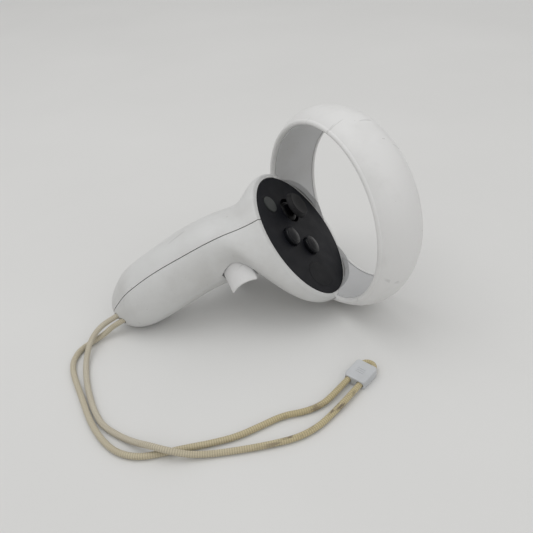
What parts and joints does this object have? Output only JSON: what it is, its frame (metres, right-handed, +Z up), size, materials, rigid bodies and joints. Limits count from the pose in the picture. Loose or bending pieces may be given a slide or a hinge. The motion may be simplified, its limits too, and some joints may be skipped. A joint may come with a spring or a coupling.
{
  "type": "vr motion controller",
  "caption": "Handheld motion controller: battery handle, round control plate with thumbstick and keys, tracking ring, index trigger, grip paddle and wrist lanyard.",
  "frame": {"origin": "on the table below the middle of the controller's bounding box, lanyard left out", "axes": "+Z up from the table, +X the way the tracking ring faces, away from the tail; the controller lies on its ring, trigger tip and tail"},
  "size_m": [0.1431, 0.1133, 0.09],
  "materials": {
    "shell": "light warm grey shell, fine spark texture",
    "ring_shell": "light warm grey shell, fine spark texture",
    "ring_liner": "pale, fine matt, infrared-clear",
    "dark_frame": "moulded, matt",
    "plate": "dark, fine satin",
    "thumb_pad": "dark, finely ribbed",
    "key": "dark, satin",
    "menu_key": "dark grey, satin",
    "stick_rubber": "soft-touch, matt",
    "stick_gloss": "polished",
    "trigger": "dark, satin",
    "paddle": "light warm grey, satin",
    "board": "solder mask",
    "flex": "flexible circuit",
    "emitter": "tinted lens",
    "steel": "plain",
    "nickel": "nickel plated",
    "cell_wrap": "printed sleeve, plain",
    "cord": "woven round cord",
    "lock": "light grey"
  },
  "bodies": {
    "handle": {"grip_shell": "shell", "inner_frame": "dark_frame", "ring_shell_outer": "ring_shell", "ring_shell_inner": "ring_liner", "led_strip": "flex", "ring_leds": "emitter", "face_plate": "plate", "thumb_rest": "thumb_pad", "chassis": "dark_frame", "switch_domes": "dark_frame", "control_board": "board", "chassis_screws": "steel", "stick_module": "dark_frame", "trigger_pin": "steel", "trigger_spring": "steel", "grip_button_pin": "steel", "grip_button_spring": "steel", "battery_tray": "dark_frame", "battery_cell": "cell_wrap", "contact_plate": "nickel", "contact_spring": "nickel", "haptic_motor": "steel", "lanyard_anchor": "dark_frame", "lanyard_cord": "cord"},
    "battery_cover": {"battery_cover": "shell"},
    "stick_cradle": {"stick_cradle": "dark_frame"},
    "stick_rocker": {"stick_rocker": "dark_frame"},
    "stick": {"stick_cap": "stick_rubber", "stick_dome": "stick_gloss"},
    "lower_face_button": {"lower_face_button": "key"},
    "upper_face_button": {"upper_face_button": "key"},
    "menu_button": {"menu_button": "menu_key"},
    "index_trigger": {"index_trigger": "trigger"},
    "grip_button": {"grip_button": "paddle"},
    "lanyard_lock": {"lanyard_lock": "lock"}
  },
  "joints": [
    {"name": "battery_cover_lift", "type": "slide", "parent": "handle", "child": "battery_cover", "axis": [0.015, 0.7834, 0.6214], "range_m": [0, 0.008]},
    {"name": "stick_click", "type": "slide", "parent": "handle", "child": "stick_cradle", "axis": [-0.5889, 0.5092, -0.6277], "range_m": [0, 0.0005], "stiffness_N_per_m": 3000, "springref_m": -0.0002},
    {"name": "stick_tilt_forward", "type": "hinge", "parent": "stick_cradle", "child": "stick_rocker", "pos_m": [0.0286, 0.02321, 0.03494], "axis": [-0.015, -0.7834, -0.6214], "range_deg": [-14, 14], "stiffness_Nm_per_rad": 0.02},
    {"name": "stick_tilt_side", "type": "hinge", "parent": "stick_rocker", "child": "stick", "pos_m": [0.0286, 0.02321, 0.03494], "axis": [0.8081, 0.3565, -0.4689], "range_deg": [-14, 14], "stiffness_Nm_per_rad": 0.02},
    {"name": "lower_face_button_press", "type": "slide", "parent": "handle", "child": "lower_face_button", "axis": [-0.5889, 0.5092, -0.6277], "range_m": [0, 0.001], "stiffness_N_per_m": 1000, "springref_m": -0.0002},
    {"name": "upper_face_button_press", "type": "slide", "parent": "handle", "child": "upper_face_button", "axis": [-0.5889, 0.5092, -0.6277], "range_m": [0, 0.001], "stiffness_N_per_m": 1000, "springref_m": -0.0002},
    {"name": "menu_button_press", "type": "slide", "parent": "handle", "child": "menu_button", "axis": [-0.5889, 0.5092, -0.6277], "range_m": [0, 0.0006], "stiffness_N_per_m": 1500, "springref_m": -0.0002},
    {"name": "index_trigger_pull", "type": "hinge", "parent": "handle", "child": "index_trigger", "pos_m": [0.01292, 0.02003, 0.01872], "axis": [0.015, 0.7834, 0.6214], "range_deg": [0, 15], "stiffness_Nm_per_rad": 0.08, "springref_deg": -8.59},
    {"name": "grip_button_squeeze", "type": "hinge", "parent": "handle", "child": "grip_button", "pos_m": [0.00496, 0.0024, 0.03213], "axis": [0.6416, 0.4691, -0.6068], "range_deg": [0, 8], "stiffness_Nm_per_rad": 0.12, "springref_deg": -4.58},
    {"name": "lanyard_lock_slide", "type": "slide", "parent": "handle", "child": "lanyard_lock", "axis": [-0.9449, -0.3272, 0], "range_m": [0, 0.006]}
  ]
}
